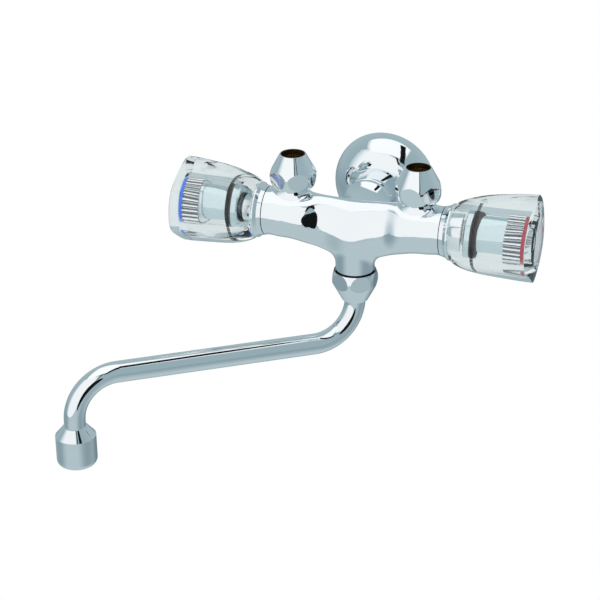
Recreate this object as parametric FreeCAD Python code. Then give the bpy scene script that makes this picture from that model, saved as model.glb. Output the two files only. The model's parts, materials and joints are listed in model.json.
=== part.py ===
import FreeCAD, Part
import math
import os
from FreeCAD import Vector

# A two handle wall mixer tap with one inlet in the wall, two upward pipe nuts,
# a swivel spout below and two clear three sided handles. Millimetres.
# The shape is drawn round the valve axis: x to the hot side, y to the wall, z up.
# Everything is moved at the end so that the origin is the wall plane on the inlet axis.

# Where things stand
WALL_TO_AXIS = 72.0
PIPE_X = 42.5
ARM_END = 60.0
SPOUT_SWING = 47.0
SPOUT_REACH = 200.0

# Cast body
ARM_R = 16.3
CENTRE_TOP = 14.6
SHOULDER_AT = 36.0
WAIST_AT = 20.0
WAIST_HALF = 11.2
BELLY_HALF = 14.6
BELLY_Z = -13.0
BELLY_LOW = -27.0
BELLY_SPREAD = 1.8
BODY_STEPS = 8
STEM_R = 13.0
STEM_FILLET = 9.0
STEM_LOW = -42.0
BOSS_ROOT = 6.0
BOSS_WAIST_R = 12.4
BOSS_WAIST_END = 15.0
BOSS_LIP = 3.0
BOSS_HOLLOW = 1.0
BOSS_R = 16.6
BOSS_FACE = 31.0
BOSS_THREAD_R = 13.2
BOSS_THREAD_LEN = 9.0
NECK_R = 8.6
NECK_FILLET = 7.5
NECK_THREAD_R = 10.2
NECK_THREAD_LOW = 22.0
NECK_TOP = 33.5
PIPE_STOP = 18.0
WATER_R = 5.5
CHAMBER_R = 10.5
CHAMBER_END = 27.0
SEAT_R = 7.4
SEAT_HIGH = 1.5
BONNET_BORE_R = 12.0
BONNET_BORE_END = 48.5
SPOUT_BORE_R = 8.5
SPOUT_BORE_TOP = -16.0
CROSS_R = 3.4

# Ball and cone union nuts
NUT_BALL_R = 15.6
NUT_BALL_AT = 7.4
NUT_SHOULDER_AT = 9.0
NUT_LONG = 21.8
NUT_RIM_R = 8.7
NUT_ACROSS_FLATS = 28.0
PIPE_OPEN_R = 7.75
PIPE_BORE_R = 7.65
PIPE_NUT_TOP = 42.3
NUT_CONE_TOP = 38.5
OLIVE_SEAT_LOW = 31.5
OLIVE_SEAT_SLOPE = 0.65
OLIVE_NUT_SLOPE = 0.46
OLIVE_ROOM = 1.0
LEFT_NUT_TURN = 32.0
RIGHT_NUT_TURN = -6.0
SPOUT_NUT_TURN = 32.0
SPOUT_NUT_TOP = -34.6
SPOUT_NUT_HOLE_R = 13.5
SPOUT_NUT_LIP = 2.0

# Wall connection
SLEEVE_R = 17.0
SLEEVE_GAP = 0.3
SLEEVE_LIP = 4.0
SLEEVE_LONG = 24.0
ROSETTE_R = 35.2
ROSETTE_DEEP = 21.0
ROSETTE_WALL = 1.4
ROSETTE_RIM = 1.6
ROSETTE_BULGE = 4.5
NIPPLE_THREAD_R = 10.48
NIPPLE_OUT = 14.0
NIPPLE_THREAD_IN = 1.0
NIPPLE_SHANK_R = 10.2
NIPPLE_PASS = 0.15
NIPPLE_BORE_R = 7.0
NIPPLE_COLLAR_R = 12.6
NIPPLE_COLLAR = 4.0
WASHER_THICK = 2.0
NIPPLE_FRONT = BOSS_FACE + BOSS_THREAD_LEN + WASHER_THICK

# Spout
TUBE_R = 7.0
TUBE_WALL = 1.0
TUBE_BEND_R = 28.0
TUBE_RISE = 4.5
CORNER_Z = -86.5
TAIL_FLANGE_R = 10.2
TAIL_FLANGE = 2.6
TAIL_UP = 18.0
TAIL_BORE_R = 4.6
SWIVEL_CLEAR = 0.05
SIDE_CLEAR = 0.4
SWIVEL_GAP = 0.4
SEAL_R = 1.3
SLIP_THICK = 1.6
TUBE_TOP = STEM_LOW - SWIVEL_GAP - TAIL_FLANGE
SLIP_LOW = TUBE_TOP - SLIP_THICK
SEAL_AT = (STEM_LOW + 5.0, STEM_LOW + 11.5)
COLLAR_TOP = -105.0
COLLAR_LOW = -111.7
TUBE_LOW = COLLAR_LOW - 2.0
COLLAR_THREAD_R = 11.2
COLLAR_THREAD_LEN = 7.0
AERATOR_R = 13.2
AERATOR_LONG = 20.7
AERATOR_LIP_R = 9.6
AERATOR_ROUND = 4.2
INSERT_R = 10.6
INSERT_TOP = COLLAR_LOW - COLLAR_THREAD_LEN - 1.5

# Valves
SPINDLE_R = 5.0
SPINDLE_CLEAR = 0.05
SPINDLE_THREAD_R = 3.9
SPINDLE_START = 37.8
SPINDLE_SEAL = 1.0
SPINDLE_SEAL_AT = (56.0, 62.0)
THREAD_CLEAR = 0.3
SPINDLE_COLLAR_R = 6.1
SPINDLE_COLLAR = 3.4
SPLINE_R = 4.0
SPLINE_TEETH = 20
SPLINE_START = 80.0
SPLINE_END = 99.0
CARRIER_FLATS = 13.0
CARRIER_CLEAR = 0.05
CARRIER_LONG = 11.0
CARRIER_FLOOR = 2.4
WASHER_SCREW_R = 1.5
WASHER_R = 8.0
VALVE_WASHER = 2.6
SEAT_GAP = 0.05
CARRIER_START = CHAMBER_END + SEAT_HIGH + SEAT_GAP + VALVE_WASHER
SKIRT_START = 36.0
SKIRT_R = 9.2
SOCKET_END = 50.2
BONNET_FLANGE_R = 14.2
BONNET_FLANGE = 5.0
BONNET_SEAL = 0.5
FLANGE_START = ARM_END + BONNET_SEAL
BONNET_BARREL_R = 12.0
BONNET_TOP = 76.4
CLIP_R = 7.6
CLIP_THICK = 1.0
CLIP_DEEP = 0.8
CLIP_START = BONNET_TOP + 0.3
NECK_RING_FOOT_R = 16.4
NECK_RING_R = 18.6
NECK_RING_EDGE = 0.8
NECK_RING_END = 66.9

# Handles
SHELL_START = 67.3
SHELL_END = 119.6
SHELL_DOME = 3.8
SHELL_NECK_R = 18.8
SHELL_END_R = 30.1
SHELL_FLARE = ((0.0, 0.0), (0.09, 0.265), (0.224, 0.487), (0.358, 0.655), (0.51, 0.779), (0.702, 0.894),
               (1.0, 1.0), (1.1, 1.02))
SHELL_FLATS = 24.5
SHELL_CRISP = 18.0
SHELL_POINTS = 36
CORNER_ANGLE = 5.0
SHELL_BORE_R = 15.3
SHELL_BORE_END = 117.4
KNURL_R = 15.2
KNURL_ROOT_R = 14.2
KNURL_TEETH = 34
KNURL_START = 104.0
KNURL_END = 115.0
HUB_START = 78.0
HUB_FLANGE_R = 15.0
HUB_FLANGE_END = 82.0
GRIP_END = 86.0
HUB_R = 11.0
INDEX_END = 117.0
INDEX_RING_R = 15.0
INDEX_CAP_R = 13.2
SCREW_R = 2.0
SCREW_HEAD_R = 3.8
SCREW_HEAD = 2.6
SCREW_DEEP = 10.0
SCREW_SEAT = SPLINE_END + 2.0

ALONG_X = Vector(1, 0, 0)
ALONG_Y = Vector(0, 1, 0)
ALONG_Z = Vector(0, 0, 1)
HERE = Vector(0, 0, 0)


def turned(axis, outline):
    """A solid of revolution from (along, radius) points round an axis through the centre."""
    if axis == "x":
        points = [Vector(a, r, 0) for a, r in outline]
        line = ALONG_X
    elif axis == "y":
        points = [Vector(r, a, 0) for a, r in outline]
        line = ALONG_Y
    else:
        points = [Vector(r, 0, a) for a, r in outline]
        line = ALONG_Z
    wire = Part.makePolygon(points + [points[0]])
    return Part.Face(wire).revolve(HERE, line, 360)


def drum(axis, low, high, radius):
    """A plain round bar from low to high."""
    line = {"x": ALONG_X, "y": ALONG_Y, "z": ALONG_Z}[axis]
    return Part.makeCylinder(radius, high - low, line * low, line)


def tube(axis, low, high, outer, inner):
    """A plain round ring or tube."""
    return drum(axis, low, high, outer).cut(drum(axis, low - 1, high + 1, inner))


def round_ring(axis, at, middle, section):
    """An O-ring."""
    line = {"x": ALONG_X, "y": ALONG_Y, "z": ALONG_Z}[axis]
    return Part.makeTorus(middle, section, line * at, line)


def toothed(low, high, outer, root, count):
    """A bar along x with straight teeth."""
    points = []
    for step in range(2 * count):
        angle = math.pi * step / count
        radius = outer if step % 2 == 0 else root
        points.append(Vector(low, radius * math.cos(angle), radius * math.sin(angle)))
    face = Part.Face(Part.makePolygon(points + [points[0]]))
    return face.extrude(ALONG_X * (high - low))


def hexagon(low, high, across_flats):
    """A six sided bar along x."""
    return toothed(low, high, across_flats / math.sqrt(3), across_flats / 2, 6)


def edges_near(shape, keep):
    """The edges whose middle passes a test."""
    return [edge for edge in shape.Edges if keep(edge.CenterOfMass, edge)]


# The cast body: one smooth loft along the arms, round at the ends and pear shaped in the middle
def body_section(at, top, half, widest, low):
    points = []
    for step in range(12):
        angle = 2 * math.pi * step / 12
        rise = top - widest if math.sin(angle) > 0 else widest - low
        points.append(Vector(at, half * math.cos(angle), widest + rise * math.sin(angle)))
    curve = Part.BSplineCurve()
    curve.interpolate(points, PeriodicFlag=True)
    return Part.Wire(curve.toShape())


def ease(share):
    """A soft step from 0 to 1."""
    return (1 - math.cos(math.pi * min(max(share, 0), 1))) / 2


def body_half(at):
    """Half the depth of the casting: full on the arms, a waist beside the stem, a little more in the middle."""
    if at > WAIST_AT:
        return ARM_R + (WAIST_HALF - ARM_R) * ease((SHOULDER_AT - at) / (SHOULDER_AT - WAIST_AT))
    return BELLY_HALF + (WAIST_HALF - BELLY_HALF) * ease(at / WAIST_AT)


def belly_share(at):
    """How much of the middle's pear shape a section has."""
    return ease(1 - at / ARM_END) ** BELLY_SPREAD


def cast_blank():
    half_row = [ARM_END * step / BODY_STEPS for step in range(BODY_STEPS + 1)]
    wires = []
    for at in [-place for place in half_row[:0:-1]] + half_row:
        share = belly_share(abs(at))
        wires.append(body_section(at, ARM_R + (CENTRE_TOP - ARM_R) * share, body_half(abs(at)),
                                  BELLY_Z * share, -ARM_R + (BELLY_LOW + ARM_R) * share))
    return Part.makeLoft(wires, True, False)


def boss_blank():
    start = Vector(BOSS_WAIST_R, BOSS_ROOT, 0)
    waist = Vector(BOSS_WAIST_R, BOSS_WAIST_END, 0)
    lip = Vector(BOSS_R, BOSS_FACE - BOSS_LIP, 0)
    middle = Vector((BOSS_WAIST_R + BOSS_R) / 2 - BOSS_HOLLOW, (BOSS_WAIST_END + BOSS_FACE - BOSS_LIP) / 2, 0)
    face = Vector(BOSS_R, BOSS_FACE, 0)
    lines = [Part.makeLine(Vector(0, BOSS_ROOT, 0), start), Part.makeLine(start, waist),
             Part.Arc(waist, middle, lip).toShape(), Part.makeLine(lip, face),
             Part.makeLine(face, Vector(0, BOSS_FACE, 0)),
             Part.makeLine(Vector(0, BOSS_FACE, 0), Vector(0, BOSS_ROOT, 0))]
    boss = Part.Face(Part.Wire(lines)).revolve(HERE, ALONG_Y, 360)
    return boss.fuse(drum("y", BOSS_FACE - 1, BOSS_FACE + BOSS_THREAD_LEN, BOSS_THREAD_R))


def water_ways():
    """Everything that is bored out of the casting."""
    ways = drum("x", -CHAMBER_END - SEAT_HIGH - 1, CHAMBER_END + SEAT_HIGH + 1, WATER_R)
    ways = ways.fuse(drum("y", 0, BOSS_FACE + BOSS_THREAD_LEN + 1, NIPPLE_BORE_R))
    ways = ways.fuse(drum("z", STEM_LOW - 1, SPOUT_BORE_TOP, SPOUT_BORE_R))
    start = Vector(0, 0, SPOUT_BORE_TOP - CROSS_R)
    finish = Vector(-CHAMBER_END - CHAMBER_R + CROSS_R, 0, -CHAMBER_R + CROSS_R)
    ways = ways.fuse(Part.makeCylinder(CROSS_R, (finish - start).Length, start, finish - start))
    for side in (-1, 1):
        chamber = drum("x", CHAMBER_END, BONNET_BORE_END + 1, CHAMBER_R)
        chamber = chamber.cut(tube("x", CHAMBER_END - 1, CHAMBER_END + SEAT_HIGH, SEAT_R, WATER_R))
        chamber = chamber.fuse(drum("x", BONNET_BORE_END, ARM_END + 1, BONNET_BORE_R))
        if side < 0:
            chamber = chamber.mirror(HERE, ALONG_X)
        pipe = turned("z", [(0, 0), (0, WATER_R), (PIPE_STOP, WATER_R), (PIPE_STOP, PIPE_BORE_R),
                            (OLIVE_SEAT_LOW, PIPE_BORE_R), (NECK_TOP, olive_seat(NECK_TOP)),
                            (NECK_TOP + 1, olive_seat(NECK_TOP)), (NECK_TOP + 1, 0)])
        ways = ways.fuse(chamber).fuse(pipe.translated(Vector(side * PIPE_X, 0, 0)))
    return ways


def olive_seat(at):
    """Radius of the cone seat at the top of a pipe neck."""
    return PIPE_BORE_R + OLIVE_SEAT_SLOPE * (at - OLIVE_SEAT_LOW)


def mixer_body():
    stem = drum("z", STEM_LOW, -STEM_R / 2, STEM_R)
    body = cast_blank().fuse(stem)
    seam = edges_near(body, lambda c, e: STEM_LOW + STEM_FILLET / 2 < c.z < -ARM_R / 3
                      and e.BoundBox.ZLength > STEM_R / 8)
    body = body.makeFillet(STEM_FILLET, seam)
    for side in (-1, 1):
        neck = drum("z", ARM_R / 4, NECK_TOP, NECK_R).translated(Vector(side * PIPE_X, 0, 0))
        body = body.fuse(neck)
        root = edges_near(body, lambda c, e: abs(c.x - side * PIPE_X) < NECK_R / 2
                          and ARM_R / 2 < c.z < NECK_THREAD_LOW and e.BoundBox.XLength > NECK_R)
        body = body.makeFillet(NECK_FILLET, root)
        thread = drum("z", NECK_THREAD_LOW, NECK_TOP, NECK_THREAD_R)
        body = body.fuse(thread.translated(Vector(side * PIPE_X, 0, 0)))
    body = body.fuse(boss_blank())
    return body.cut(water_ways())


# The nuts: a ball running out into a cone, six flats round the ball
def nut_blank():
    """Large end at the origin, small end up."""
    base_r = math.sqrt(NUT_BALL_R ** 2 - NUT_BALL_AT ** 2)
    join_r = math.sqrt(NUT_BALL_R ** 2 - (NUT_SHOULDER_AT - NUT_BALL_AT) ** 2)
    foot = Vector(base_r, 0, 0)
    belly = Vector(NUT_BALL_R, 0, NUT_BALL_AT)
    join = Vector(join_r, 0, NUT_SHOULDER_AT)
    rim = Vector(NUT_RIM_R, 0, NUT_LONG)
    lines = [Part.makeLine(HERE, foot), Part.Arc(foot, belly, join).toShape(), Part.makeLine(join, rim),
             Part.makeLine(rim, Vector(0, 0, NUT_LONG)), Part.makeLine(Vector(0, 0, NUT_LONG), HERE)]
    ball = Part.Face(Part.Wire(lines)).revolve(HERE, ALONG_Z, 360)
    flats = hexagon(-1, NUT_LONG + 1, NUT_ACROSS_FLATS)
    flats.rotate(HERE, ALONG_Y, -90)
    flats.rotate(HERE, ALONG_Z, 30)
    return ball.common(flats)


def pipe_nut(turn):
    """The nut that squeezes an olive onto a pipe, opening up."""
    nut = nut_blank()
    nut.rotate(HERE, ALONG_Z, turn)
    low = PIPE_NUT_TOP - NUT_LONG
    nut.translate(ALONG_Z * low)
    cone_low = NECK_TOP + OLIVE_ROOM
    hollow = turned("z", [(low - 1, 0), (low - 1, NECK_THREAD_R), (cone_low, NECK_THREAD_R),
                          (cone_low, nut_cone(cone_low)), (NUT_CONE_TOP, PIPE_OPEN_R),
                          (PIPE_NUT_TOP + 1, PIPE_OPEN_R), (PIPE_NUT_TOP + 1, 0)])
    return nut.cut(hollow)


def nut_cone(at):
    """Radius of the cone inside a pipe nut."""
    return PIPE_OPEN_R + OLIVE_NUT_SLOPE * (NUT_CONE_TOP - at)


def pipe_olive():
    """The brass ring that grips the pipe: a cone each way."""
    peak = olive_seat(NECK_TOP + OLIVE_ROOM)
    shoulder = NUT_CONE_TOP - (peak - PIPE_OPEN_R) / OLIVE_NUT_SLOPE
    low = OLIVE_SEAT_LOW + 0.2
    high = NUT_CONE_TOP - 0.4
    return turned("z", [(low, PIPE_BORE_R), (low, olive_seat(low)), (NECK_TOP + OLIVE_ROOM, peak),
                        (shoulder, peak), (high, nut_cone(high)), (high, PIPE_BORE_R)])


def spout_nut():
    nut = nut_blank()
    nut.rotate(HERE, ALONG_X, 180)
    nut.rotate(HERE, ALONG_Z, SPOUT_NUT_TURN)
    nut.translate(ALONG_Z * SPOUT_NUT_TOP)
    hollow = drum("z", SPOUT_NUT_TOP - SPOUT_NUT_LIP, SPOUT_NUT_TOP + 1, SPOUT_NUT_HOLE_R)
    hollow = hollow.fuse(drum("z", STEM_LOW - SWIVEL_GAP, SPOUT_NUT_TOP, STEM_R))
    hollow = hollow.fuse(drum("z", SLIP_LOW - SWIVEL_GAP, SPOUT_NUT_TOP, TAIL_FLANGE_R + SIDE_CLEAR))
    hollow = hollow.fuse(drum("z", SPOUT_NUT_TOP - NUT_LONG - 1, SPOUT_NUT_TOP, TUBE_R + SIDE_CLEAR))
    return nut.cut(hollow)


# The wall connection
def wall_rosette():
    front = WALL_TO_AXIS - ROSETTE_DEEP
    back = WALL_TO_AXIS - ROSETTE_RIM
    hole = Vector(SLEEVE_R, front, 0)
    rim = Vector(ROSETTE_R, back, 0)
    across = (rim - hole).normalize()
    outward = Vector(across.y, -across.x, 0)
    crown = (hole + rim) * 0.5 + outward * ROSETTE_BULGE
    inner_rim = Vector(ROSETTE_R - ROSETTE_WALL, back, 0)
    inner_hole = Vector(SLEEVE_R, front + ROSETTE_WALL * 1.3, 0)
    inner_crown = crown - outward * ROSETTE_WALL
    foot = Vector(ROSETTE_R, WALL_TO_AXIS, 0)
    inner_foot = Vector(ROSETTE_R - ROSETTE_WALL, WALL_TO_AXIS, 0)
    lines = [Part.Arc(hole, crown, rim).toShape(), Part.makeLine(rim, foot), Part.makeLine(foot, inner_foot),
             Part.makeLine(inner_foot, inner_rim), Part.Arc(inner_rim, inner_crown, inner_hole).toShape(),
             Part.makeLine(inner_hole, hole)]
    return Part.Face(Part.Wire(lines)).revolve(HERE, ALONG_Y, 360)


def inlet_sleeve():
    start = BOSS_FACE + SLEEVE_GAP
    lip = NIPPLE_FRONT + NIPPLE_COLLAR
    hole = NIPPLE_THREAD_R + NIPPLE_PASS
    return turned("y", [(start, BOSS_THREAD_R), (start, SLEEVE_R - 0.5), (start + 0.5, SLEEVE_R),
                        (start + SLEEVE_LONG, SLEEVE_R), (start + SLEEVE_LONG, SLEEVE_R - 1.5),
                        (lip + SLEEVE_LIP, SLEEVE_R - 1.5), (lip + SLEEVE_LIP, hole), (lip, hole),
                        (lip, BOSS_THREAD_R)])


def wall_nipple():
    lip = NIPPLE_FRONT + NIPPLE_COLLAR
    end = WALL_TO_AXIS + NIPPLE_OUT
    thread = WALL_TO_AXIS - NIPPLE_THREAD_IN
    return turned("y", [(NIPPLE_FRONT, NIPPLE_BORE_R), (NIPPLE_FRONT, NIPPLE_COLLAR_R),
                        (lip, NIPPLE_COLLAR_R), (lip, NIPPLE_SHANK_R), (thread, NIPPLE_SHANK_R),
                        (thread, NIPPLE_THREAD_R), (end - 1, NIPPLE_THREAD_R),
                        (end, NIPPLE_THREAD_R - 1), (end, NIPPLE_BORE_R)])


def inlet_washer():
    return tube("y", NIPPLE_FRONT - WASHER_THICK, NIPPLE_FRONT, NIPPLE_COLLAR_R, NIPPLE_BORE_R)


# The spout, drawn to point at the user and swung to its place at the end
def spout_path(top, low):
    """Centre line from the nut to the outlet."""
    rise = math.radians(TUBE_RISE)
    turn = math.radians(90 + TUBE_RISE)
    reach = TUBE_BEND_R * math.tan(turn / 2)
    far_z = CORNER_Z + SPOUT_REACH * math.tan(rise)
    out = Vector(0, -math.cos(rise), math.sin(rise))
    near = Vector(0, 0, CORNER_Z)
    far = Vector(0, -SPOUT_REACH, far_z)
    points = [Vector(0, 0, top), near + ALONG_Z * reach, near + out * reach,
              far - out * reach, far - ALONG_Z * reach, Vector(0, -SPOUT_REACH, low)]
    sink = TUBE_BEND_R / math.cos(turn / 2) - TUBE_BEND_R
    near_middle = near + (ALONG_Z + out).normalize() * sink
    far_middle = far - (ALONG_Z + out).normalize() * sink
    return Part.Wire([Part.makeLine(points[0], points[1]),
                      Part.Arc(points[1], near_middle, points[2]).toShape(),
                      Part.makeLine(points[2], points[3]),
                      Part.Arc(points[3], far_middle, points[4]).toShape(),
                      Part.makeLine(points[4], points[5])])


def bent_bar(top, low, radius):
    ring = Part.Wire(Part.makeCircle(radius, ALONG_Z * top, ALONG_Z))
    return Part.Solid(spout_path(top, low).makePipeShell([ring], True, False))


def spout_tube():
    bar = bent_bar(TUBE_TOP, TUBE_LOW, TUBE_R)
    return bar.cut(bent_bar(TUBE_TOP, TUBE_LOW, TUBE_R - TUBE_WALL))


def spout_tailpiece():
    shaft_r = SPOUT_BORE_R - SWIVEL_CLEAR
    top = TUBE_TOP + TAIL_FLANGE + TAIL_UP
    tail = turned("z", [(TUBE_TOP, TAIL_BORE_R), (TUBE_TOP, TAIL_FLANGE_R),
                        (TUBE_TOP + TAIL_FLANGE, TAIL_FLANGE_R), (TUBE_TOP + TAIL_FLANGE, shaft_r),
                        (top - 1, shaft_r), (top, shaft_r - 1), (top, TAIL_BORE_R)])
    for at in SEAL_AT:
        tail = tail.cut(tube("z", at - SEAL_R, at + SEAL_R, shaft_r + 1, shaft_r - 2 * SEAL_R))
    return tail


def spout_seals():
    middle = SPOUT_BORE_R - SWIVEL_CLEAR - SEAL_R
    return Part.makeCompound([round_ring("z", at, middle, SEAL_R) for at in SEAL_AT])


def spout_slip_ring():
    return tube("z", SLIP_LOW, TUBE_TOP, TAIL_FLANGE_R, TUBE_R)


def outlet_collar():
    end = COLLAR_LOW - COLLAR_THREAD_LEN
    return turned("z", [(COLLAR_TOP, TUBE_R), (COLLAR_TOP, TUBE_R + 0.6), (COLLAR_LOW, AERATOR_R - 0.2),
                        (COLLAR_LOW, COLLAR_THREAD_R), (end, COLLAR_THREAD_R), (end, TUBE_R - TUBE_WALL),
                        (TUBE_LOW, TUBE_R - TUBE_WALL), (TUBE_LOW, TUBE_R)])


def aerator_sleeve():
    low = COLLAR_LOW - AERATOR_LONG
    top_out = Vector(AERATOR_R, 0, COLLAR_LOW)
    turn_in = Vector(AERATOR_R, 0, low + AERATOR_ROUND)
    foot = Vector(AERATOR_LIP_R, 0, low)
    swell = (turn_in + foot) * 0.5 + Vector(0.75, 0, -0.75)
    insert_top = INSERT_TOP
    inside = [(low, AERATOR_LIP_R - 0.8), (low + 1, AERATOR_LIP_R - 0.8), (low + 1, INSERT_R),
              (insert_top, INSERT_R), (insert_top, COLLAR_THREAD_R), (COLLAR_LOW, COLLAR_THREAD_R)]
    points = [Vector(r, 0, a) for a, r in inside]
    lines = [Part.makeLine(top_out, turn_in), Part.Arc(turn_in, swell, foot).toShape(),
             Part.makeLine(foot, points[0])]
    lines += [Part.makeLine(a, b) for a, b in zip(points[:-1], points[1:])]
    lines.append(Part.makeLine(points[-1], top_out))
    return Part.Face(Part.Wire(lines)).revolve(HERE, ALONG_Z, 360)


def aerator_insert():
    low = COLLAR_LOW - AERATOR_LONG + 1
    insert = drum("z", low, INSERT_TOP, INSERT_R)
    holes = []
    for count, radius in ((1, 0.0), (6, 3.2), (12, 6.4)):
        for step in range(count):
            angle = 2 * math.pi * step / count
            spot = Vector(radius * math.cos(angle), radius * math.sin(angle), 0)
            holes.append(drum("z", low - 1, INSERT_TOP + 1, 1.1).translated(spot))
    return insert.cut(Part.makeCompound(holes))


def aerator_washer():
    return tube("z", INSERT_TOP, COLLAR_LOW - COLLAR_THREAD_LEN, COLLAR_THREAD_R, TUBE_R)


# The valve on the hot side; the cold one is its mirror image
def bonnet():
    skirt = turned("x", [(SKIRT_START, 0), (SKIRT_START, SKIRT_R), (BONNET_BORE_END, SKIRT_R),
                         (BONNET_BORE_END, BONNET_BORE_R), (FLANGE_START, BONNET_BORE_R),
                         (FLANGE_START, BONNET_FLANGE_R), (FLANGE_START + BONNET_FLANGE, BONNET_FLANGE_R),
                         (FLANGE_START + BONNET_FLANGE, BONNET_BARREL_R), (BONNET_TOP - 0.6, BONNET_BARREL_R),
                         (BONNET_TOP, BONNET_BARREL_R - 0.6), (BONNET_TOP, 0)])
    socket = hexagon(SKIRT_START - 1, SOCKET_END, CARRIER_FLATS + 2 * CARRIER_CLEAR)
    return skirt.cut(socket).cut(drum("x", SOCKET_END - 1, BONNET_TOP + 1, SPINDLE_R + SPINDLE_CLEAR))


def bonnet_seal():
    return tube("x", ARM_END, FLANGE_START, BONNET_FLANGE_R, BONNET_BORE_R)


def neck_ring():
    rim = NECK_RING_END - NECK_RING_EDGE
    hollow = (NECK_RING_FOOT_R + NECK_RING_R) / 2 - NECK_RING_EDGE / 2
    return turned("x", [(FLANGE_START, BONNET_FLANGE_R), (FLANGE_START, NECK_RING_FOOT_R),
                        ((FLANGE_START + rim) / 2, hollow), (rim - NECK_RING_EDGE, NECK_RING_R),
                        (rim, NECK_RING_R), (NECK_RING_END, NECK_RING_R - NECK_RING_EDGE),
                        (NECK_RING_END, BONNET_FLANGE_R)])


def spindle():
    collar_end = SOCKET_END - 0.2
    collar = collar_end - SPINDLE_COLLAR
    shaft = turned("x", [(SPINDLE_START, 0), (SPINDLE_START, SPINDLE_THREAD_R), (collar, SPINDLE_THREAD_R),
                         (collar, SPINDLE_COLLAR_R), (collar_end, SPINDLE_COLLAR_R), (collar_end, SPINDLE_R),
                         (CLIP_START, SPINDLE_R), (CLIP_START, SPINDLE_R - CLIP_DEEP),
                         (CLIP_START + CLIP_THICK, SPINDLE_R - CLIP_DEEP), (CLIP_START + CLIP_THICK, SPINDLE_R),
                         (SPLINE_START, SPINDLE_R), (SPLINE_START, 0)])
    shaft = shaft.fuse(toothed(SPLINE_START, SPLINE_END, SPLINE_R, SPLINE_R - 0.4, SPLINE_TEETH))
    for at in SPINDLE_SEAL_AT:
        groove = tube("x", at - SPINDLE_SEAL, at + SPINDLE_SEAL, SPINDLE_R + 1, SPINDLE_R - 2 * SPINDLE_SEAL)
        shaft = shaft.cut(groove)
    return shaft.cut(drum("x", SPLINE_END - SCREW_DEEP, SPLINE_END + 1, SCREW_R))


def spindle_seals():
    middle = SPINDLE_R - SPINDLE_SEAL
    return Part.makeCompound([round_ring("x", at, middle, SPINDLE_SEAL) for at in SPINDLE_SEAL_AT])


def spindle_clip():
    clip = tube("x", CLIP_START, CLIP_START + CLIP_THICK, CLIP_R, SPINDLE_R - CLIP_DEEP)
    return clip.cut(Part.makeBox(4, 3, CLIP_R + 1, Vector(CLIP_START - 1, -1.5, 0)))


def washer_carrier():
    block = hexagon(CARRIER_START, CARRIER_START + CARRIER_LONG, CARRIER_FLATS)
    block = block.cut(drum("x", CARRIER_START - 1, CARRIER_START + CARRIER_LONG, WASHER_SCREW_R))
    bore = drum("x", CARRIER_START + CARRIER_FLOOR, CARRIER_START + CARRIER_LONG + 1,
                SPINDLE_THREAD_R + THREAD_CLEAR)
    return block.cut(bore)


def valve_washer():
    return tube("x", CARRIER_START - VALVE_WASHER, CARRIER_START, WASHER_R, WASHER_SCREW_R)


def washer_screw():
    head = CARRIER_START - VALVE_WASHER
    return turned("x", [(head - 1.4, 0), (head - 1.4, WASHER_SCREW_R + 1.2), (head - 0.9, WASHER_SCREW_R + 1.7),
                        (head, WASHER_SCREW_R + 1.7), (head, WASHER_SCREW_R),
                        (CARRIER_START + CARRIER_FLOOR, WASHER_SCREW_R), (CARRIER_START + CARRIER_FLOOR, 0)])


# The handle on the hot side: a clear flared shell with three soft flats pushed over a knurled hub
def shell_section(at, radius):
    """A circle that the three flats press in where it is wider than they are."""
    points = []
    for step in range(SHELL_POINTS):
        angle = 2 * math.pi * step / SHELL_POINTS
        pressed = radius ** -SHELL_CRISP
        for third in range(3):
            lean = math.cos(angle - math.radians(CORNER_ANGLE + 60 + 120 * third))
            pressed += (SHELL_FLATS / max(lean, 0.1)) ** -SHELL_CRISP
        reach = pressed ** (-1 / SHELL_CRISP)
        points.append(Vector(at, -reach * math.cos(angle), reach * math.sin(angle)))
    curve = Part.BSplineCurve()
    curve.interpolate(points, PeriodicFlag=True)
    return Part.Wire(curve.toShape())


def handle_shell():
    wires = []
    for along, flare in SHELL_FLARE:
        at = SHELL_START + (SHELL_END - SHELL_START) * along
        wires.append(shell_section(at, SHELL_NECK_R + (SHELL_END_R - SHELL_NECK_R) * flare))
    bell = Part.makeLoft(wires, True, False)
    dome_r = (SHELL_END_R ** 2 + SHELL_DOME ** 2) / (2 * SHELL_DOME)
    dome = Part.makeSphere(dome_r, Vector(SHELL_END + SHELL_DOME - dome_r, 0, 0))
    return bell.common(dome).cut(drum("x", SHELL_START - 1, SHELL_BORE_END, SHELL_BORE_R))


def handle_hub():
    hub = turned("x", [(HUB_START, 0), (HUB_START, HUB_FLANGE_R - 0.6), (HUB_START + 0.6, HUB_FLANGE_R),
                       (HUB_FLANGE_END, HUB_FLANGE_R), (HUB_FLANGE_END, HUB_R), (KNURL_START, HUB_R),
                       (KNURL_START, 0)])
    hub = hub.fuse(toothed(KNURL_START, KNURL_END, KNURL_R, KNURL_ROOT_R, KNURL_TEETH))
    hub = hub.cut(drum("x", HUB_START - 1, SPLINE_START, CLIP_R + SIDE_CLEAR))
    hub = hub.cut(drum("x", HUB_START, SPLINE_END, SPLINE_R))
    hub = hub.cut(drum("x", HUB_START, SCREW_SEAT + 1, SCREW_R))
    return hub.cut(drum("x", SCREW_SEAT, KNURL_END + 1, SCREW_HEAD_R + 0.6))


def grip_ring():
    middle = (HUB_FLANGE_END + GRIP_END) / 2
    return turned("x", [(HUB_FLANGE_END, HUB_R), (HUB_FLANGE_END, SHELL_BORE_R - 0.9), (middle - 1, SHELL_BORE_R),
                        (middle + 1, SHELL_BORE_R), (GRIP_END, SHELL_BORE_R - 0.9), (GRIP_END, HUB_R)])


def index_ring():
    return tube("x", KNURL_END, INDEX_END, INDEX_RING_R, INDEX_CAP_R)


def index_cap():
    return turned("x", [(KNURL_END, 0), (KNURL_END, INDEX_CAP_R), (INDEX_END - 0.3, INDEX_CAP_R),
                        (INDEX_END, INDEX_CAP_R - 0.5), (INDEX_END, 0)])


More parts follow.
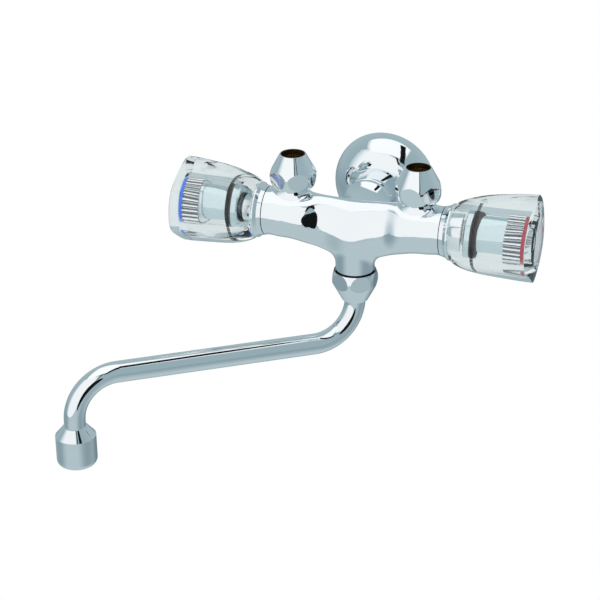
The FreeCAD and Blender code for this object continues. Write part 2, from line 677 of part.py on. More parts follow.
def handle_screw():
    head = SCREW_SEAT + SCREW_HEAD
    screw = turned("x", [(SPLINE_END - SCREW_DEEP + 1, 0), (SPLINE_END - SCREW_DEEP + 1, SCREW_R),
                         (SCREW_SEAT, SCREW_R), (SCREW_SEAT, SCREW_HEAD_R), (head - 0.8, SCREW_HEAD_R),
                         (head, SCREW_HEAD_R - 1), (head, 0)])
    for angle in (0, 90):
        slot = Part.makeBox(SCREW_HEAD, 5, 1, Vector(SCREW_SEAT + 1.2, -2.5, -0.5))
        slot.rotate(HERE, ALONG_X, angle)
        screw = screw.cut(slot)
    return screw


# Put every piece where it belongs and write one file for each
AT_WALL = Vector(0, -WALL_TO_AXIS, 0)
os.makedirs("parts", exist_ok=True)


def save(name, shape):
    shape = shape.translated(AT_WALL)
    shape.exportStep("parts/" + name + ".step")
    print(name, shape.isValid(), len(shape.Solids), round(shape.Volume, 1))


def save_pair(name, shape):
    save("hot_" + name, shape)
    save("cold_" + name, shape.mirror(HERE, ALONG_X))


def save_spout(name, shape, at_outlet=False):
    if at_outlet:
        shape = shape.translated(Vector(0, -SPOUT_REACH, 0))
    shape.rotate(HERE, ALONG_Z, -SPOUT_SWING)
    save(name, shape)


save("mixer_body", mixer_body())
save("left_pipe_nut", pipe_nut(LEFT_NUT_TURN).translated(Vector(-PIPE_X, 0, 0)))
save("right_pipe_nut", pipe_nut(RIGHT_NUT_TURN).translated(Vector(PIPE_X, 0, 0)))
save("left_pipe_olive", pipe_olive().translated(Vector(-PIPE_X, 0, 0)))
save("right_pipe_olive", pipe_olive().translated(Vector(PIPE_X, 0, 0)))
save("spout_nut", spout_nut())
save("wall_rosette", wall_rosette())
save("inlet_sleeve", inlet_sleeve())
save("wall_nipple", wall_nipple())
save("inlet_washer", inlet_washer())
save_spout("spout_tube", spout_tube())
save_spout("spout_tailpiece", spout_tailpiece())
save_spout("spout_seals", spout_seals())
save_spout("spout_slip_ring", spout_slip_ring())
save_spout("outlet_collar", outlet_collar(), True)
save_spout("aerator_sleeve", aerator_sleeve(), True)
save_spout("aerator_insert", aerator_insert(), True)
save_spout("aerator_washer", aerator_washer(), True)
save_pair("bonnet", bonnet())
save_pair("bonnet_seal", bonnet_seal())
save_pair("neck_ring", neck_ring())
save_pair("spindle", spindle())
save_pair("spindle_seals", spindle_seals())
save_pair("spindle_clip", spindle_clip())
save_pair("washer_carrier", washer_carrier())
save_pair("valve_washer", valve_washer())
save_pair("washer_screw", washer_screw())
save_pair("handle_shell", handle_shell())
save_pair("handle_hub", handle_hub())
save_pair("grip_ring", grip_ring())
save_pair("index_ring", index_ring())
save_pair("index_cap", index_cap())
save_pair("handle_screw", handle_screw())
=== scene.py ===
# %% [markdown]
# # A wall mixer tap with clear handles
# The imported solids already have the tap's shapes, so this lesson is about finish and light. Chrome has no
# colour of its own: what we see on it is the room. The finishes come first, with the clear acrylic among
# them, which bends the view of the parts inside it. The rest is a small studio that gives the metal white
# windows, black edges and a blue grey surround to mirror.

# %% Load the solids
import json
import math

import bpy
from mathutils import Matrix, Vector


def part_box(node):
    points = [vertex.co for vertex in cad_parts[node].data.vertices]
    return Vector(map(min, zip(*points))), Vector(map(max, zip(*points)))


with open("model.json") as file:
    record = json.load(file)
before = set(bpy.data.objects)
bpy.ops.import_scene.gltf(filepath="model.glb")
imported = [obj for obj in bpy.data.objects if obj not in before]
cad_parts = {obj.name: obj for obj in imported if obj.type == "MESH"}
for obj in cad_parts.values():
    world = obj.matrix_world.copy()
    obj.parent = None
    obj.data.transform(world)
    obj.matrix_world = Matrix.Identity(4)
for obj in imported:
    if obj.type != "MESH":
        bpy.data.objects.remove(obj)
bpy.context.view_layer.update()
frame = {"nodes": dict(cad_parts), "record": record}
nodes = frame["nodes"]
print(len(nodes), "solids from the frame")

# %% [markdown]
# ## Sums between sockets
# A shader is a sum over values that change along the surface. It could be wired node by node, but that
# hides the sum. A small class wraps one socket instead, and Python's own signs add the Math nodes.


# %% A socket in a sum
class Flow:
    """One output socket that can stand in a Python sum."""

    def __init__(self, board, socket):
        self.board = board
        self.socket = socket

    def maths(self, operation, first, second):
        return self.board.node("ShaderNodeMath", {"operation": operation}, {0: first, 1: second})

    def __add__(self, other):
        return self.maths("ADD", self, other)

    def __radd__(self, other):
        return self.maths("ADD", other, self)

    def __sub__(self, other):
        return self.maths("SUBTRACT", self, other)

    def __rsub__(self, other):
        return self.maths("SUBTRACT", other, self)

    def __mul__(self, other):
        return self.maths("MULTIPLY", self, other)

    def __rmul__(self, other):
        return self.maths("MULTIPLY", other, self)

    def __lt__(self, other):
        return self.maths("LESS_THAN", self, other)

    def __gt__(self, other):
        return self.maths("GREATER_THAN", self, other)


print(Flow.__name__, "is ready for sums")

# %% [markdown]
# ## A board of nodes
# Every other node comes from one method. It takes the node's type, its settings, which are set first, and
# the values or links of its sockets. The few nodes that the tap's finishes use again and again get short
# names: a mix of two colours, a smooth step, the place on a solid, the parts of that place, and a noise.

# %% Board
# A Mix node has sockets for each kind of data, and these are its sockets for colours
MIX_FACTOR = 0
MIX_FIRST = 6
MIX_SECOND = 7
MIX_RESULT = 2


class Board:
    """The node tree of one material or of the world."""

    def __init__(self, owner):
        owner.use_nodes = True
        self.tree = owner.node_tree
        self.tree.nodes.clear()

    def node(self, kind, settings=None, sockets=None, out=0):
        made = self.tree.nodes.new(kind)
        for name, value in (settings or {}).items():
            setattr(made, name, value)
        for name, value in (sockets or {}).items():
            if isinstance(value, Flow):
                self.tree.links.new(value.socket, made.inputs[name])
            else:
                made.inputs[name].default_value = value
        return Flow(self, made.outputs[out]) if made.outputs else None

    def mix(self, factor, first, second):
        """A colour that goes from the first to the second as the factor goes from 0 to 1."""
        colours = {MIX_FACTOR: factor, MIX_FIRST: first, MIX_SECOND: second}
        return self.node("ShaderNodeMix", {"data_type": "RGBA"}, colours, out=MIX_RESULT)

    def rise(self, flow, start, end):
        """A smooth step from 0 at the start value to 1 at the end value."""
        return self.node("ShaderNodeMapRange", {"interpolation_type": "SMOOTHSTEP"},
                         {"Value": flow, "From Min": start, "From Max": end})

    def place(self):
        """Where a point lies in its object's own space, in metres."""
        return self.node("ShaderNodeTexCoord", out="Object")

    def parts(self, vector):
        """The x, y and z of a vector, each ready for a sum."""
        split = self.node("ShaderNodeSeparateXYZ", sockets={0: vector})
        return [Flow(self, socket) for socket in split.socket.node.outputs]

    def noise(self, grain, detail):
        """A noise that is finer the larger its grain number is."""
        return self.node("ShaderNodeTexNoise",
                         sockets={"Vector": self.place(), "Scale": grain, "Detail": detail})


print(Board.__name__, "is ready for nodes")

# %% [markdown]
# ## A finish
# Every finish of the tap, from mirror to rubber, is one Principled shader on a board of its own. Metal,
# plastic and glass could have a shader each, but one shader keeps all of them in the same few words.


# %% Finish helpers
def finish_board(name):
    """A new material and the board of its nodes."""
    material = bpy.data.materials.new(name)
    return material, Board(material)


def surface(board, **sockets):
    """The shader of a finish, with its sockets given as keywords, joined to the material's output."""
    named = {key.replace("_", " ").title().replace("Ior", "IOR"): value for key, value in sockets.items()}
    shader = board.node("ShaderNodeBsdfPrincipled", sockets=named)
    board.node("ShaderNodeOutputMaterial", sockets={"Surface": shader})


print("finishes can be mixed")

# %% [markdown]
# ## Chrome plate
# Decorative chrome is a thin bluish mirror over polished brass. It could be a plain mirror, but the real
# plate is never perfect: polishing leaves a slight waviness, and it hazes a little where hands and water
# reach. The base colour stays close to white with a cool tint, the roughness drifts with the haze, and a
# very weak bump bends the reflections.

# %% Chrome
CHROME_TINT = (0.86, 0.895, 0.915, 1.0)
CHROME_HAZE_TINT = (0.80, 0.845, 0.87, 1.0)
HAZE_GRAIN = 38.0
HAZE_DETAIL = 4.0
HAZE_ROUGH = 0.03
PLATE_ROUGH = 0.035
PLATE_WAVE = 0.02
WAVE_GRAIN = 9.0
WAVE_DETAIL = 2.0
WAVE_DEEP = 0.001


def plate_haze(board):
    """How hazy the plate is, from 0 to 1."""
    return board.noise(HAZE_GRAIN, HAZE_DETAIL)


def hazed_tint(board, haze):
    """The plate's colour under its haze."""
    return board.mix(haze, CHROME_TINT, CHROME_HAZE_TINT)


def chrome_plate(name, rough=PLATE_ROUGH, wave=PLATE_WAVE):
    """Plate with a haze and a slight waviness."""
    material, board = finish_board(name)
    haze = plate_haze(board)
    drift = board.noise(WAVE_GRAIN, WAVE_DETAIL)
    bump = board.node("ShaderNodeBump", sockets={"Strength": wave, "Distance": WAVE_DEEP, "Height": drift})
    surface(board, base_color=hazed_tint(board, haze), metallic=1.0, roughness=rough + haze * HAZE_ROUGH,
            normal=bump)
    return material


chrome = chrome_plate("chrome plate")
print(chrome.name, "made")

# %% [markdown]
# ## The spout nut's rim of painted shade
# Where the spout nut meets the stem, the real tap has a black line, partly a dark seal and partly shade in
# the joint. The solids have a narrow gap there, which mirrors the bright room and hardly shows. The mesh is
# left alone, so the finish does it: a mask of the height paints that shade and seal black on the nut's rim
# beside the gap.

# %% Spout nut
SEAM_TALL = 0.0007
SEAM_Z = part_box("spout_nut")[1][2] - SEAM_TALL
# Painted shade in the joint, partly a dark seal, in black on the nut's rim
SEAM_SHADE_TINT = (0.008, 0.010, 0.012, 1.0)
UNPLATED_ROUGH = 0.3


def shade_seamed_nut(name):
    """Plate that is black on the upper rim, where the spout nut meets the stem: painted shade in the joint,
    partly a dark seal.
    """
    material, board = finish_board(name)
    _, _, high = board.parts(board.place())
    # Where the painted shade and seal go: above this height on the nut's rim
    seam_shade = high > SEAM_Z
    haze = plate_haze(board)
    surface(board, base_color=board.mix(seam_shade, hazed_tint(board, haze), SEAM_SHADE_TINT), metallic=1.0,
            roughness=PLATE_ROUGH + haze * HAZE_ROUGH + seam_shade * UNPLATED_ROUGH)
    return material


spout_nut_plate = shade_seamed_nut("spout nut plate")
print(spout_nut_plate.name, "made, black above", round(SEAM_Z, 4))

# %% [markdown]
# ## Pipe nuts with a brass throat
# The pipe nuts are plated outside only. Looking down into an opening we see raw brass that has gone
# brown. The throat could have a material of its own on its faces, but the mesh is left alone here too.
# The plate ends where the distance from the pipe's axis drops below the opening's radius, so a mask of
# that distance picks the finish. The axes come from the frame's own pipe mounts.

# %% Pipe nuts
MOUNT_SPOTS = {mount["name"]: mount["pos_m"] for mount in frame["record"]["mounts"]}
THROAT_R = 0.0082
THROAT_BRASS = (0.33, 0.21, 0.085, 1.0)
THROAT_BRASS_DARK = (0.085, 0.052, 0.022, 1.0)
THROAT_GRAIN = 220.0
THROAT_DETAIL = 5.0


def plated_nut(name, mount):
    """Plate on a nut whose throat, round the axis of a pipe mount, is raw brass."""
    material, board = finish_board(name)
    axis_x, axis_y, _ = MOUNT_SPOTS[mount]
    sideways, deep, _ = board.parts(board.place())
    across = sideways - axis_x
    along = deep - axis_y
    throat = (across * across + along * along) < THROAT_R ** 2
    raw = board.mix(board.noise(THROAT_GRAIN, THROAT_DETAIL), THROAT_BRASS, THROAT_BRASS_DARK)
    haze = plate_haze(board)
    surface(board, base_color=board.mix(throat, CHROME_TINT, raw), metallic=1.0,
            roughness=PLATE_ROUGH + haze * HAZE_ROUGH + throat * UNPLATED_ROUGH)
    return material


left_nut = plated_nut("left nut plate", "left_pipe")
right_nut = plated_nut("right nut plate", "right_pipe")
print(left_nut.name, "and", right_nut.name, "made")

# %% [markdown]
# ## Inner metals and rubber
# Brass pieces that water touches are dull and stained, screws and clips are plain steel with a fine
# grain, and rubber is black with a soft bloom. Little of them shows, so flat colours would nearly do, but
# the acrylic enlarges some of them. They share one idea, so one function lets a noise move tint and
# roughness together.

# %% Brass, steel and rubber
BRASS_TINTS = ((0.60, 0.42, 0.17, 1.0), (0.30, 0.19, 0.075, 1.0))
STEEL_TINTS = ((0.62, 0.63, 0.64, 1.0), (0.45, 0.46, 0.48, 1.0))
RUBBER_TINTS = ((0.002, 0.002, 0.0025, 1.0), (0.008, 0.008, 0.009, 1.0))


def mottled_finish(name, tints, grain, detail, rough, drift, **constants):
    """A finish whose tint and roughness follow one noise; the roughness rises by the drift at most."""
    material, board = finish_board(name)
    mottle = board.noise(grain, detail)
    surface(board, base_color=board.mix(mottle, *tints), roughness=rough + mottle * drift, **constants)
    return material


brass = mottled_finish("stained brass", BRASS_TINTS, grain=160.0, detail=5.0, rough=0.22, drift=0.2,
                       metallic=1.0)
steel = mottled_finish("drawn steel", STEEL_TINTS, grain=900.0, detail=2.0, rough=0.2, drift=0.15,
                       metallic=1.0)
rubber = mottled_finish("black rubber", RUBBER_TINTS, grain=300.0, detail=4.0, rough=0.45, drift=0.2,
                        specular_ior_level=0.06)
print(brass.name, steel.name, rubber.name, sep=", ")

# %% [markdown]
# ## Moulded plastics
# The index rings are dyed plastic, blue for cold and red for hot. The slip ring and the aerator insert
# are white. Moulding leaves a faint flow pattern in all of them. The clear shell round an index ring also
# guides light into it. Tracing that light would take very many rays, so a weak glow in the ring's own
# tint stands for it.

# %% Plastics
BLUE_TINTS = ((0.010, 0.19, 0.95, 1.0), (0.008, 0.16, 0.85, 1.0))
RED_TINTS = ((0.64, 0.005, 0.065, 1.0), (0.54, 0.004, 0.05, 1.0))
WHITE_TINTS = ((0.80, 0.80, 0.78, 1.0), (0.74, 0.74, 0.72, 1.0))
FLOW_GRAIN = 120.0
FLOW_DETAIL = 3.0
FLOW_ROUGH = 0.08


def moulded_plastic(name, tints, rough, glow):
    """Plastic with a faint flow pattern and a glow in its own tint."""
    material, board = finish_board(name)
    flow = board.noise(FLOW_GRAIN, FLOW_DETAIL)
    tint = board.mix(flow, *tints)
    surface(board, base_color=tint, roughness=rough + flow * FLOW_ROUGH,
            emission_color=tint, emission_strength=glow)
    return material


blue = moulded_plastic("cold blue", BLUE_TINTS, rough=0.25, glow=0.25)
red = moulded_plastic("hot red", RED_TINTS, rough=0.25, glow=0.05)
white = moulded_plastic("white plastic", WHITE_TINTS, rough=0.4, glow=0.0)
print(blue.name, red.name, white.name, sep=", ")

# %% [markdown]
# ## Hubs, caps and bonnets
# The hub that carries each clear shell has a plain barrel and, at its outer end, a knurl. The knurl is
# real geometry, but coarser than on the real hub. More teeth would be the direct way. Painted shade in both
# the grooves and on the tips doubles the lines without changing the mesh, and the distance from the valve's
# axis tells where they are. The cap and the bonnet have the same plate as the body, a little duller.

# %% Hub, cap and bonnet
AXIS_Y = MOUNT_SPOTS["left_pipe"][1]
HUB_END, HUB_BACK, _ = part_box("hot_handle_hub")[1]
KNURL_LONG = 0.0115
KNURL_DEEP = 0.001
KNURL_FROM = HUB_END - KNURL_LONG
KNURL_TIP = HUB_BACK - AXIS_Y
KNURL_ROOT = KNURL_TIP - KNURL_DEEP
# Distances from the axis between which the painted shade of the grooves and of the tips comes up
GROOVE_SHADE_FADE = (KNURL_ROOT + 0.00045, KNURL_ROOT + 0.00015)
TIP_SHADE_FADE = (KNURL_TIP - 0.00030, KNURL_TIP - 0.00012)
# Nearer to the axis than this are the hub's end face and the screw's hole, which stay bright
KNURL_INSIDE = KNURL_ROOT - 0.0004
BARREL_TINT = (0.62, 0.75, 0.775, 1.0)
# Colour of the painted shade in the knurl's grooves and on its tips
GROOVE_SHADE_TINT = (0.12, 0.145, 0.16, 1.0)
DULL_ROUGH = 0.10
CAP_ROUGH = 0.12


def knurled_hub(name):
    """Plate on a duller barrel, with painted shade in the grooves and on the tips of the knurl."""
    material, board = finish_board(name)
    sideways, deep, high = board.parts(board.place())
    deep = deep - AXIS_Y
    spread = board.node("ShaderNodeMath", {"operation": "SQRT"}, {0: deep * deep + high * high})
    knurl = board.node("ShaderNodeMath", {"operation": "ABSOLUTE"}, {0: sideways}) > KNURL_FROM
    lines = board.rise(spread, *GROOVE_SHADE_FADE) + board.rise(spread, *TIP_SHADE_FADE)
    shade = knurl * lines * (spread > KNURL_INSIDE)
    haze = plate_haze(board)
    plate = board.mix(knurl, BARREL_TINT, hazed_tint(board, haze))
    surface(board, base_color=board.mix(shade, plate, GROOVE_SHADE_TINT), metallic=1.0,
            roughness=DULL_ROUGH + haze * HAZE_ROUGH + shade * UNPLATED_ROUGH)
    return material


silver = chrome_plate("silvered cap", rough=CAP_ROUGH, wave=0.05)
hub_plate = knurled_hub("knurled hub plate")
bonnet_plate = chrome_plate("bonnet plate", rough=DULL_ROUGH, wave=0.03)
print(silver.name, hub_plate.name, bonnet_plate.name, sep=", ")

# %% [markdown]
# ## Clear acrylic
# The shells are cast acrylic: a refractive index of 1.49, polished faces and hardly any colour. A
# see-through mix would render faster, but it does not bend light. Everything inside is real geometry, so
# with a shader that refracts, the bent and doubled picture of the hub comes from the shell's own three
# flats.

# %% Acrylic
ACRYLIC_TINT = (0.985, 0.993, 0.995, 1.0)
ACRYLIC_INDEX = 1.49
ACRYLIC_GLOSS = 0.3
SMEAR_GRAIN = 60.0
SMEAR_DETAIL = 3.0
SMEAR_ROUGH = 0.02


def clear_acrylic(name):
    """Clear plastic with a faint smear in its polish."""
    material, board = finish_board(name)
    smear = board.noise(SMEAR_GRAIN, SMEAR_DETAIL)
    surface(board, base_color=ACRYLIC_TINT, roughness=smear * SMEAR_ROUGH, ior=ACRYLIC_INDEX,
            transmission_weight=1.0, specular_ior_level=ACRYLIC_GLOSS)
    return material


acrylic = clear_acrylic("clear acrylic")
print(acrylic.name, "made")

# %% [markdown]
# ## Which piece has which finish
# Each solid keeps its mesh and only changes its material slot. The middle of the tap is listed piece by
# piece. Both valves and handles are alike apart from the index colour, so a loop over the two sides lists
# theirs.

# %% Dress the solids
SIDES = {"cold": blue, "hot": red}
FINISHES = {
    "mixer_body": chrome, "wall_rosette": chrome, "inlet_sleeve": chrome, "spout_nut": spout_nut_plate,
    "left_pipe_nut": left_nut, "right_pipe_nut": right_nut, "left_pipe_olive": brass,
    "right_pipe_olive": brass, "wall_nipple": brass, "inlet_washer": rubber, "spout_tube": chrome,
    "spout_tailpiece": brass, "spout_seals": rubber, "spout_slip_ring": white, "outlet_collar": chrome,
    "aerator_sleeve": chrome, "aerator_insert": white, "aerator_washer": rubber,
}
for side, index_colour in SIDES.items():
    FINISHES.update({
        side + "_bonnet": bonnet_plate, side + "_bonnet_seal": rubber, side + "_neck_ring": chrome,
        side + "_handle_shell": acrylic, side + "_handle_hub": hub_plate, side + "_grip_ring": rubber,
        side + "_index_ring": index_colour, side + "_index_cap": silver, side + "_handle_screw": steel,
        side + "_spindle": brass, side + "_spindle_seals": rubber, side + "_spindle_clip": steel,
        side + "_washer_carrier": brass, side + "_valve_washer": rubber, side + "_washer_screw": steel,
    })
for name, finish in FINISHES.items():
    nodes[name].data.materials.clear()
    nodes[name].data.materials.append(finish)
print(len(FINISHES), "solids dressed,", sorted(set(nodes) - set(FINISHES)), "left")

# %% [markdown]
# ## The studio
# The photograph is a cut out on white. Its chrome shows one large white window in front that goes on
# overhead, black edges on the right of both, and an even blue grey all round. Lamps alone would leave
# small bright dots on the metal, so large flat pieces stand round the tap for it to mirror. The first
# step is a way to say where one stands: by a turn, a height and a distance from the tap.

# %% Spots round the tap
TAP_MIDDLE = Vector((0.0, AXIS_Y, -0.02))


def aim(turn, height, distance):
    """A spot seen from the tap: degrees from straight ahead to the hot side, degrees up, and metres."""
    turn = math.radians(turn)
    height = math.radians(height)
    way = Vector((math.sin(turn) * math.cos(height), -math.cos(turn) * math.cos(height), math.sin(height)))
    return TAP_MIDDLE + way * distance


def facing(spot):
    """A frame at a spot whose local z looks away from the tap."""
    away = (spot - TAP_MIDDLE).normalized()
    return Matrix.Translation(spot) @ away.to_track_quat("Z", "Y").to_matrix().to_4x4()


print("the studio stands round", [round(v, 3) for v in TAP_MIDDLE])

# %% [markdown]
# ## Studio pieces
# A card or cloth is one flat mesh in its own plane, set in place by a matrix. Blender's own planes would
# need scaling and a second step for the oval, so the outline is given point by point. Every kind of ray can
# be told to pass a piece by. That is how one piece is there for the metal alone, and another for the camera
# alone.


# %% Sheets
def pass_by(piece, rays):
    """Make the named kinds of rays pass a piece by; glossy ones are what a mirror sees."""
    for ray in rays:
        setattr(piece, "visible_" + ray, False)


def studio_piece(name, points, faces, material, matrix, unseen_by):
    """A mesh that stands in the studio and that some kinds of rays pass by."""
    made = bpy.data.objects.new(name, bpy.data.meshes.new(name))
    made.data.from_pydata(points, [], faces)
    made.data.materials.append(material)
    made.matrix_world = matrix
    bpy.context.scene.collection.objects.link(made)
    pass_by(made, unseen_by)
    return made


def flat_sheet(name, outline, material, matrix, unseen_by):
    """A flat studio piece, drawn by its outline in its own plane."""
    points = [(x, y, 0.0) for x, y in outline]
    return studio_piece(name, points, [range(len(points))], material, matrix, unseen_by)


def oblong(wide, tall):
    return [(-wide / 2, -tall / 2), (wide / 2, -tall / 2), (wide / 2, tall / 2), (-wide / 2, tall / 2)]


def oval(wide, tall, count=40):
    turns = [2 * math.pi * step / count for step in range(count)]
    return [(wide / 2 * math.cos(turn), tall / 2 * math.sin(turn)) for turn in turns]


print("sheets can be cut")

# %% [markdown]
# ## The blue grey surround
# Where no window or card stands, the metal mirrors the world. A photograph of a room could be wrapped
# round it, but smooth tones are all that this chrome shows: walls that are lighter behind the tap, and
# below the horizon a table that darkens to its sides and goes to dusk at the back. They follow from the
# direction alone. The Standard view keeps white paper white.

# %% Surround
WALL_TONE = (0.36, 0.47, 0.51, 1.0)
BACK_TONE = (0.42, 0.53, 0.56, 1.0)
TABLE_TONE = (0.52, 0.62, 0.645, 1.0)
TABLE_EDGE_TONE = (0.27, 0.36, 0.40, 1.0)
DUSK_TONE = (0.16, 0.235, 0.265, 1.0)
# Parts of the direction between which one tone goes over into the next
BACK_FADE = (-0.2, 0.9)
TABLE_EDGE_FADE = (0.12, 0.85)
DUSK_FADE = (0.25, 0.95)
HORIZON_FADE = (0.10, -0.45)

bpy.context.scene.view_settings.view_transform = "Standard"
world = bpy.data.worlds.new("blue grey surround")
bpy.context.scene.world = world
sky = Board(world)
sideways, deep, high = sky.parts(sky.node("ShaderNodeTexCoord", out="Generated"))
walls = sky.mix(sky.rise(deep, *BACK_FADE), WALL_TONE, BACK_TONE)
table = sky.mix(sky.rise(sideways * sideways, *TABLE_EDGE_FADE), TABLE_TONE, TABLE_EDGE_TONE)
table = sky.mix(sky.rise(deep, *DUSK_FADE), table, DUSK_TONE)
tone = sky.mix(sky.rise(high, *HORIZON_FADE), walls, table)
light = sky.node("ShaderNodeBackground", sockets={"Color": tone, "Strength": 1.0})
sky.node("ShaderNodeOutputWorld", sockets={"Surface": light})
print(world.name, "made")

# %% [markdown]
# ## Two windows
# The large white shapes on the tap mirror two soft windows, one in front on the cold side and one
# overhead. Area lamps would do for plain white, but their edges are hard. A lit cloth can fade: far on the
# left of the front window, and hardly at all on its right, where the chrome goes from white to black at
# once.

# %% Windows
CLOTH_TONE = (0.50, 0.61, 0.64, 1.0)
PURE_WHITE = (1.0, 1.0, 1.0, 1.0)
PURE_BLACK = (0.0, 0.0, 0.0, 1.0)
WINDOW_AWAY = 2.4


def shine(board, colour, strength):
    """A surface that gives its own light and takes almost none."""
    surface(board, base_color=PURE_BLACK, roughness=1.0, emission_color=colour, emission_strength=strength)


def faded_ends(board, flow, width, low_fade, high_fade):
    """A mask that is 1 along a width about zero and falls to 0 at its low and high ends."""
    half = width / 2
    return board.rise(flow, -half, -half + low_fade) * board.rise(flow, half, half - high_fade)


def soft_window(name, turn, height, wide, tall, brightness, left, right, edge):
    """A lit cloth that falls to the surround's tone over a width on its left, right and other edges."""
    material, board = finish_board(name)
    across, along, _ = board.parts(board.place())
    lit = faded_ends(board, across, wide, left, right) * faded_ends(board, along, tall, edge, edge)
    shine(board, board.mix(lit, CLOTH_TONE, PURE_WHITE), brightness)
    matrix = facing(aim(turn, height, WINDOW_AWAY))
    return flat_sheet(name.replace(" ", "_"), oblong(wide, tall), material, matrix, ("camera", "shadow"))


windows = [
    soft_window("front window", turn=-26.0, height=20.0, wide=5.0, tall=3.7, brightness=1.03,
                left=1.7, right=0.05, edge=0.10),
    soft_window("overhead window", turn=0.0, height=85.0, wide=3.8, tall=2.9, brightness=1.12,
                left=0.4, right=0.3, edge=0.10),
]
print([window.name for window in windows], "hung")

# %% [markdown]
# ## Black edges
# The black oval on the body and the black lines along the spout and the nuts look like a black card and
# bars, which give bright metal an outline. They could be painted on the metal, but paint does not move
# over it when the spout swings. So they stand beside the windows, a little nearer, and neither the camera
# nor the acrylic sees them.

# %% Black card, post and bar
BLACK_TONE = (0.001, 0.001, 0.001, 1.0)
BLACK_AWAY = 2.2
CARD_AIM = (29.0, 0.0)
CARD_WIDE = 1.15
CARD_TALL = 1.6
METAL_ALONE = ("camera", "transmission")

black, black_board = finish_board("black card")
surface(black_board, base_color=BLACK_TONE, roughness=1.0)


def black_strip(name, start, end, wide):
    """A straight black strip from one aim to another, turned flat towards the tap."""
    start = aim(*start, BLACK_AWAY)
    end = aim(*end, BLACK_AWAY)
    middle = (start + end) / 2
    along = (end - start).normalized()
    away = (middle - TAP_MIDDLE).normalized()
    across = away.cross(along).normalized()
    turned = Matrix((along, across, along.cross(across))).transposed().to_4x4()
    matrix = Matrix.Translation(middle) @ turned
    return flat_sheet(name, oblong((end - start).length, wide), black, matrix, METAL_ALONE)


card_matrix = facing(aim(*CARD_AIM, BLACK_AWAY))
black_pieces = [
    flat_sheet("black_card", oval(CARD_WIDE, CARD_TALL), black, card_matrix, METAL_ALONE),
    black_strip("black_post", start=(25.0, 29.0), end=(28.0, 50.0), wide=0.17),
    black_strip("black_bar", start=(37.0, 36.0), end=(132.0, 62.0), wide=0.36),
]
print([piece.name for piece in black_pieces], "set up")

# %% [markdown]
# ## White paper
# The ground of the photograph is plain white. Paper that is lit by lamps would shade off into grey, so
# this paper shines by itself: a floor, and a drum that stands round it so that low views end in white
# too. Only the camera sees them, because the chrome in the photograph mirrors no white floor.

# %% Floor and drum
FLOOR_Z = -0.30
FLOOR_WIDE = 14.0
DRUM_WIDE = 12.0
DRUM_LOW = FLOOR_Z - 4.0
DRUM_HIGH = FLOOR_Z + 8.0
DRUM_SIDES = 48
CAMERA_ALONE = ("glossy", "diffuse", "shadow", "transmission")

paper, paper_board = finish_board("white paper")
paper_light = paper_board.node("ShaderNodeEmission", sockets={"Color": PURE_WHITE, "Strength": 1.0})
paper_board.node("ShaderNodeOutputMaterial", sockets={"Surface": paper_light})


def lying(height):
    """A frame that lies flat at a height in metres."""
    return Matrix.Translation((0.0, 0.0, height))


def paper_drum(name):
    """Paper that stands round the floor."""
    ring = oval(DRUM_WIDE, DRUM_WIDE, DRUM_SIDES)
    points = [(x, y, z) for z in (DRUM_LOW, DRUM_HIGH) for x, y in ring]
    sides = [(step, (step + 1) % DRUM_SIDES) for step in range(DRUM_SIDES)]
    faces = [(start, end, end + DRUM_SIDES, start + DRUM_SIDES) for start, end in sides]
    return studio_piece(name, points, faces, paper, Matrix(), CAMERA_ALONE)


floor_outline = oblong(FLOOR_WIDE, FLOOR_WIDE)
floor = flat_sheet("floor", floor_outline, paper, lying(FLOOR_Z), CAMERA_ALONE)
drum = paper_drum("paper_drum")
print(floor.name, "and", drum.name, "laid out")

# %% [markdown]
# ## A grey ground behind the acrylic
# A clear handle on pure white would vanish, and a grey tint in the acrylic would look like smoked plastic.
# Glass is photographed with something grey behind it, so that its edges show. Here a grey sheet lies just
# under the floor, and only rays that went through the acrylic see it.

# %% Backing
BACKING_TONE = (0.70, 0.765, 0.775, 1.0)
BACKING_Z = FLOOR_Z - 0.01
ACRYLIC_ALONE = ("camera", "glossy", "diffuse", "shadow")

grey, grey_board = finish_board("grey backing")
shine(grey_board, BACKING_TONE, 1.0)
backing = flat_sheet("backing", floor_outline, grey, lying(BACKING_Z), ACRYLIC_ALONE)
print(backing.name, "laid under the floor")

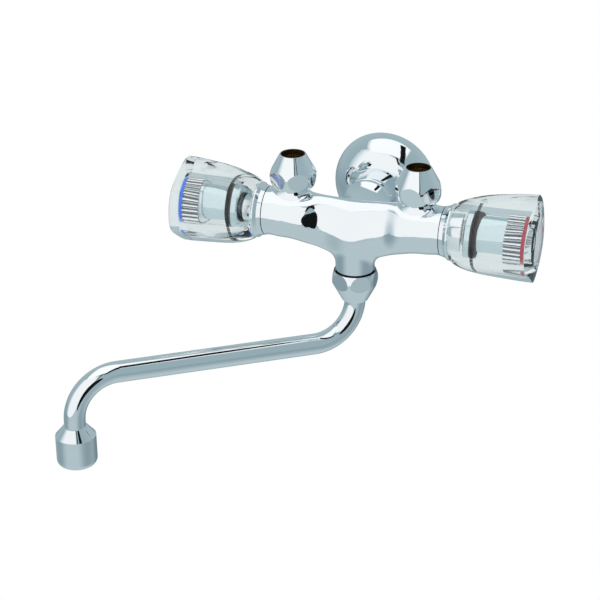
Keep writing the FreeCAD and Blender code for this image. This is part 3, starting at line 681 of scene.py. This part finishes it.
# %% [markdown]
# ## Light for rubber and plastic
# Rubber and plastic show the light that falls on them more than what they mirror, and the windows alone
# leave them too dark. Brighter windows would change the chrome as well, so a soft area lamp on the cold
# side adds the rest. Neither the metal nor the acrylic shows the lamp itself.

# %% Fill lamp
FILL_AIM = (-30.0, 45.0)
FILL_AWAY = 2.0
FILL_SIZE = 1.2
FILL_WATTS = 6.0

fill = bpy.data.objects.new("fill lamp", bpy.data.lights.new("fill lamp", "AREA"))
fill.data.size = FILL_SIZE
fill.data.energy = FILL_WATTS
fill.matrix_world = facing(aim(*FILL_AIM, FILL_AWAY))
pass_by(fill, ("glossy", "transmission"))
bpy.context.scene.collection.objects.link(fill)
print(fill.name, "gives", FILL_WATTS, "watts")

# %% [markdown]
# ## The spout in the body's mirror
# The body would mirror the spout as a bright thread along its lower edge, which the photograph does not
# have. Moving a window to darken the thread would change the rest of the chrome too, so mirror rays pass
# the spout's solids by. The camera still sees them as they are.

# %% Spout and mirror rays
spout_solids = frame["record"]["behaviour"]["bodies"]["spout"]
for name in spout_solids:
    pass_by(nodes[name], ("glossy",))
print(len(spout_solids), "solids of the spout are not mirrored")

# %% [markdown]
# ## The camera
# The view was measured from the photograph: the tap's known circles and lines give where the lens stood,
# how it was turned and how long it was. The turn is kept as the lens's own right, up and back directions,
# because those came straight from the measuring.

# %% Camera
LENS_SPOT = Vector((0.3462, -1.1339 + AXIS_Y, 0.5097))
LENS_RIGHT = Vector((0.9488, 0.3159, -0.0126))
LENS_UP = Vector((-0.1256, 0.4132, 0.902))
LENS_BACK = Vector((0.2901, -0.8541, 0.4316))
LENS_MM = 117.8
SENSOR_MM = 36.0

lens = bpy.data.cameras.new("camera")
lens.lens = LENS_MM
lens.sensor_width = SENSOR_MM
camera = bpy.data.objects.new("camera", lens)
lens_turn = Matrix((LENS_RIGHT, LENS_UP, LENS_BACK)).transposed()
camera.matrix_world = Matrix.Translation(LENS_SPOT) @ lens_turn.to_4x4()
bpy.context.scene.collection.objects.link(camera)
bpy.context.scene.camera = camera
print("camera", [round(v, 4) for v in LENS_SPOT])
